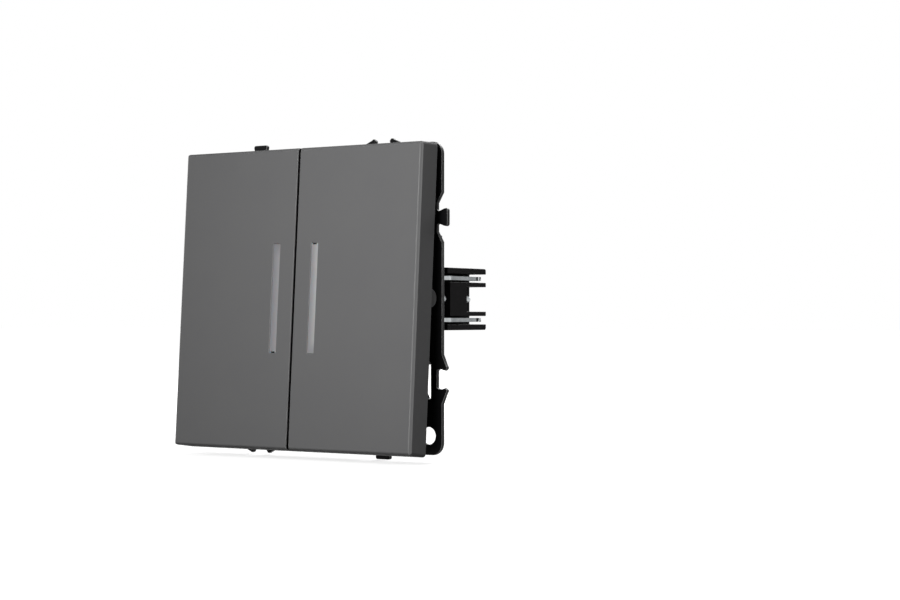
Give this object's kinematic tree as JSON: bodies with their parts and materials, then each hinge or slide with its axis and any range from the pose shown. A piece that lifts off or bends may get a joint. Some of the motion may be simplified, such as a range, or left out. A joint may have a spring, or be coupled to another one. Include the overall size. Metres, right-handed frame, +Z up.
{
  "type": "two-gang light switch",
  "caption": "Flush wall light switch with side-by-side tilting keys, slim light bars, a steel fixing plate, spreading claws and lever-release terminals.",
  "frame": {"origin": "Middle of the fixing plate's rear face, on the circle of the box screw holes.", "axes": "X to the right seen from the front, Y from the keys to the wall, Z up."},
  "size_m": [0.073, 0.0452, 0.074],
  "materials": {
    "key_plastic": "fine matt anthracite",
    "light_plastic": "milky translucent",
    "black_plastic": "satin moulded black",
    "black_steel": "black coated sheet steel",
    "zinc": "bright zinc plate",
    "blue_zinc": "blue passivated zinc plate",
    "brass": "plain brass",
    "spring_steel": "bright spring steel",
    "white_plastic": "off-white moulded",
    "red_plastic": "red moulded",
    "board": "circuit board laminate",
    "lamp": "small surface lamp"
  },
  "bodies": {
    "base": {"mounting_plate": "black_steel", "frame_catch_top_left": "black_plastic", "frame_catch_top_right": "black_plastic", "frame_catch_bottom_left": "black_plastic", "frame_catch_bottom_right": "black_plastic", "carrier": "black_plastic", "rear_housing": "black_plastic", "terminal_cap_top": "black_plastic", "terminal_cap_bottom": "black_plastic", "indicator_board": "board", "indicator_lamp_left": "lamp", "indicator_lamp_right": "lamp", "fixed_contact_left": "brass", "fixed_contact_right": "brass", "common_bar": "brass", "clamp_spring_top_left": "spring_steel", "clamp_spring_top_right": "spring_steel", "clamp_spring_bottom": "spring_steel", "claw_guide_left": "black_plastic", "claw_guide_right": "black_plastic", "claw_loop_left": "blue_zinc", "claw_loop_right": "blue_zinc"},
    "key_left": {"key_left": "key_plastic", "light_bar_left": "light_plastic", "rocker_left": "black_plastic", "plunger_spring_left": "spring_steel"},
    "key_right": {"key_right": "key_plastic", "light_bar_right": "light_plastic", "rocker_right": "black_plastic", "plunger_spring_right": "spring_steel"},
    "plunger_left": {"plunger_left": "white_plastic"},
    "plunger_right": {"plunger_right": "white_plastic"},
    "seesaw_left": {"seesaw_left": "brass"},
    "seesaw_right": {"seesaw_right": "brass"},
    "claw_left": {"claw_left": "zinc"},
    "claw_right": {"claw_right": "zinc"},
    "claw_screw_left": {"claw_screw_left": "zinc"},
    "claw_screw_right": {"claw_screw_right": "zinc"},
    "lever_top_left": {"release_lever_top_left": "white_plastic"},
    "lever_top_right": {"release_lever_top_right": "white_plastic"},
    "lever_bottom": {"release_lever_bottom": "red_plastic"}
  },
  "joints": [
    {"name": "key_left_tilt", "type": "hinge", "parent": "base", "child": "key_left", "pos_m": [-0.0142, -0.0043, 0], "axis": [1, 0, 0], "range_deg": [0, 7.6]},
    {"name": "seesaw_left_tilt", "type": "hinge", "parent": "base", "child": "seesaw_left", "pos_m": [-0.0142, 0.00782, 0], "axis": [1, 0, 0], "range_deg": [-18.1, 0]},
    {"name": "plunger_left_slide", "type": "slide", "parent": "key_left", "child": "plunger_left", "axis": [0, -0.9978, 0.0663], "range_m": [0, 0.0005], "stiffness_N_per_m": 400, "springref_m": -0.002, "deforming": ["plunger_spring_left"]},
    {"name": "claw_screw_left_turn", "type": "hinge", "parent": "base", "child": "claw_screw_left", "pos_m": [-0.0242, 0.015, 0], "axis": [0, 1, 0], "range_deg": [0, 2880]},
    {"name": "claw_left_spread", "type": "hinge", "parent": "base", "child": "claw_left", "pos_m": [-0.0242, 0.0122, 0], "axis": [0, 0, 1], "range_deg": [0, 24.1]},
    {"name": "lever_top_left_press", "type": "hinge", "parent": "base", "child": "lever_top_left", "pos_m": [-0.009, 0.0154, 0.0169], "axis": [-1, 0, 0], "range_deg": [0, 20], "stiffness_Nm_per_rad": 0.02, "springref_deg": -11.46},
    {"name": "key_right_tilt", "type": "hinge", "parent": "base", "child": "key_right", "pos_m": [0.0142, -0.0043, 0], "axis": [1, 0, 0], "range_deg": [0, 7.6]},
    {"name": "seesaw_right_tilt", "type": "hinge", "parent": "base", "child": "seesaw_right", "pos_m": [0.0142, 0.00782, 0], "axis": [1, 0, 0], "range_deg": [-18.1, 0]},
    {"name": "plunger_right_slide", "type": "slide", "parent": "key_right", "child": "plunger_right", "axis": [0, -0.9978, 0.0663], "range_m": [0, 0.0005], "stiffness_N_per_m": 400, "springref_m": -0.002, "deforming": ["plunger_spring_right"]},
    {"name": "claw_screw_right_turn", "type": "hinge", "parent": "base", "child": "claw_screw_right", "pos_m": [0.0242, 0.015, 0], "axis": [0, 1, 0], "range_deg": [0, 2880]},
    {"name": "claw_right_spread", "type": "hinge", "parent": "base", "child": "claw_right", "pos_m": [0.0242, 0.0122, 0], "axis": [0, 0, -1], "range_deg": [0, 24.1]},
    {"name": "lever_top_right_press", "type": "hinge", "parent": "base", "child": "lever_top_right", "pos_m": [0.009, 0.0154, 0.0169], "axis": [-1, 0, 0], "range_deg": [0, 20], "stiffness_Nm_per_rad": 0.02, "springref_deg": -11.46},
    {"name": "lever_bottom_press", "type": "hinge", "parent": "base", "child": "lever_bottom", "pos_m": [0, 0.0154, -0.0169], "axis": [1, 0, 0], "range_deg": [0, 20], "stiffness_Nm_per_rad": 0.02, "springref_deg": -11.46}
  ],
  "couplings": [
    {"joint": "seesaw_left_tilt", "follows": "key_left_tilt", "ratio": -2.3684},
    {"joint": "claw_left_spread", "follows": "claw_screw_left_turn", "ratio": 0.0083333},
    {"joint": "seesaw_right_tilt", "follows": "key_right_tilt", "ratio": -2.3684},
    {"joint": "claw_right_spread", "follows": "claw_screw_right_turn", "ratio": 0.0083333}
  ]
}
